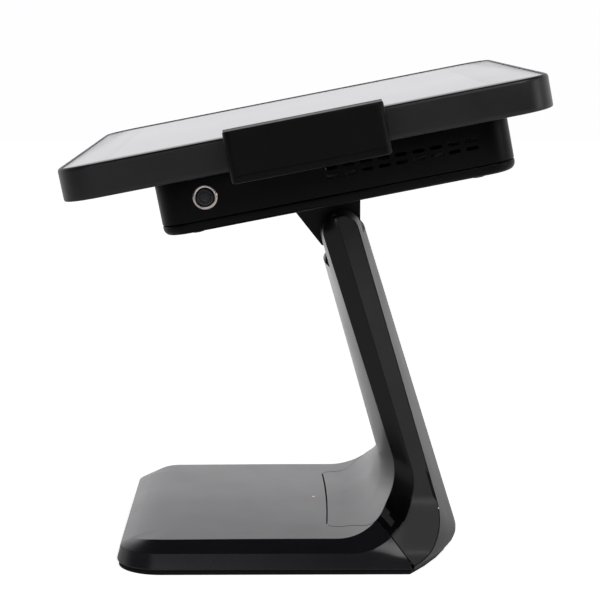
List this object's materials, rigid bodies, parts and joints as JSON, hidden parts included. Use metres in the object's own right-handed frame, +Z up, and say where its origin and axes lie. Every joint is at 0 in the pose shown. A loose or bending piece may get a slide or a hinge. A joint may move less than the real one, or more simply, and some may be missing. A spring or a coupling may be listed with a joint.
{
  "type": "point of sale touchscreen terminal",
  "caption": "Checkout computer with a flush touchscreen head, side card reader and power button, tilting on a leaning arm over a flat base.",
  "frame": {"origin": "middle of the base, on the underside of the rubber pad", "axes": "+X to the user's right, where the card reader is, +Y away from the user, +Z up"},
  "size_m": [0.377, 0.2936, 0.3185],
  "materials": {
    "screen_glass": "flush cover glass, glossy, switched off",
    "shell": "black ABS, fine satin texture",
    "satin": "satin black paint",
    "reader": "black ABS, fine texture",
    "trim": "black, plain",
    "light_guide": "clear pinkish light guide",
    "chrome_trim": "bright plated ring",
    "steel": "zinc plated",
    "black_steel": "black coated steel",
    "plate_steel": "plain rolled steel",
    "alloy": "bare aluminium",
    "board": "green circuit board",
    "pad": "black rubber sheet"
  },
  "bodies": {
    "stand": {"base_shell": "satin", "arm_front_cover": "satin", "arm_side_left": "shell", "arm_side_right": "shell", "arm_rear_cover": "shell", "status_light": "light_guide", "base_plate": "plate_steel", "anti_slip_pad": "pad", "base_screw_1": "steel", "base_screw_2": "steel", "base_screw_3": "steel", "base_screw_4": "steel", "arm_spine": "plate_steel", "spine_screw_1": "steel", "spine_screw_2": "steel", "hinge_shaft": "steel", "friction_washer_left": "steel", "friction_washer_right": "steel", "hinge_spacer_left": "alloy", "hinge_spacer_right": "alloy", "hinge_nut_left": "steel", "hinge_nut_right": "steel"},
    "head": {"touch_glass": "screen_glass", "front_frame": "shell", "lcd_panel": "alloy", "rear_housing": "shell", "back_cover": "shell", "mainboard": "board", "cpu_heatsink": "alloy", "solid_state_drive": "alloy", "memory_module": "board", "speaker": "trim", "back_cover_screw_1": "black_steel", "back_cover_screw_2": "black_steel", "back_cover_screw_3": "black_steel", "back_cover_screw_4": "black_steel", "lan_jack": "alloy", "usb_jack_1": "alloy", "usb_jack_2": "alloy", "serial_jack": "trim", "dc_inlet": "trim", "power_button_ring": "chrome_trim", "power_button_switch": "trim", "power_button_nut": "steel", "card_reader_base": "reader", "card_reader_block": "reader", "card_read_head": "steel", "card_reader_screw_1": "black_steel", "card_reader_screw_2": "black_steel", "tilt_bracket": "black_steel", "hinge_cover": "trim", "bracket_screw_1": "steel", "bracket_screw_2": "steel", "bracket_screw_3": "steel", "bracket_screw_4": "steel"},
    "power_button": {"power_button_cap": "trim"}
  },
  "joints": [
    {"name": "display_tilt", "type": "hinge", "parent": "stand", "child": "head", "pos_m": [0, 0.034, 0.213], "axis": [1, 0, 0], "range_deg": [-11, 74]},
    {"name": "power_button_press", "type": "slide", "parent": "head", "child": "power_button", "axis": [-1, 0, 0], "range_m": [0, 0.001], "stiffness_N_per_m": 600, "springref_m": -0.002}
  ]
}
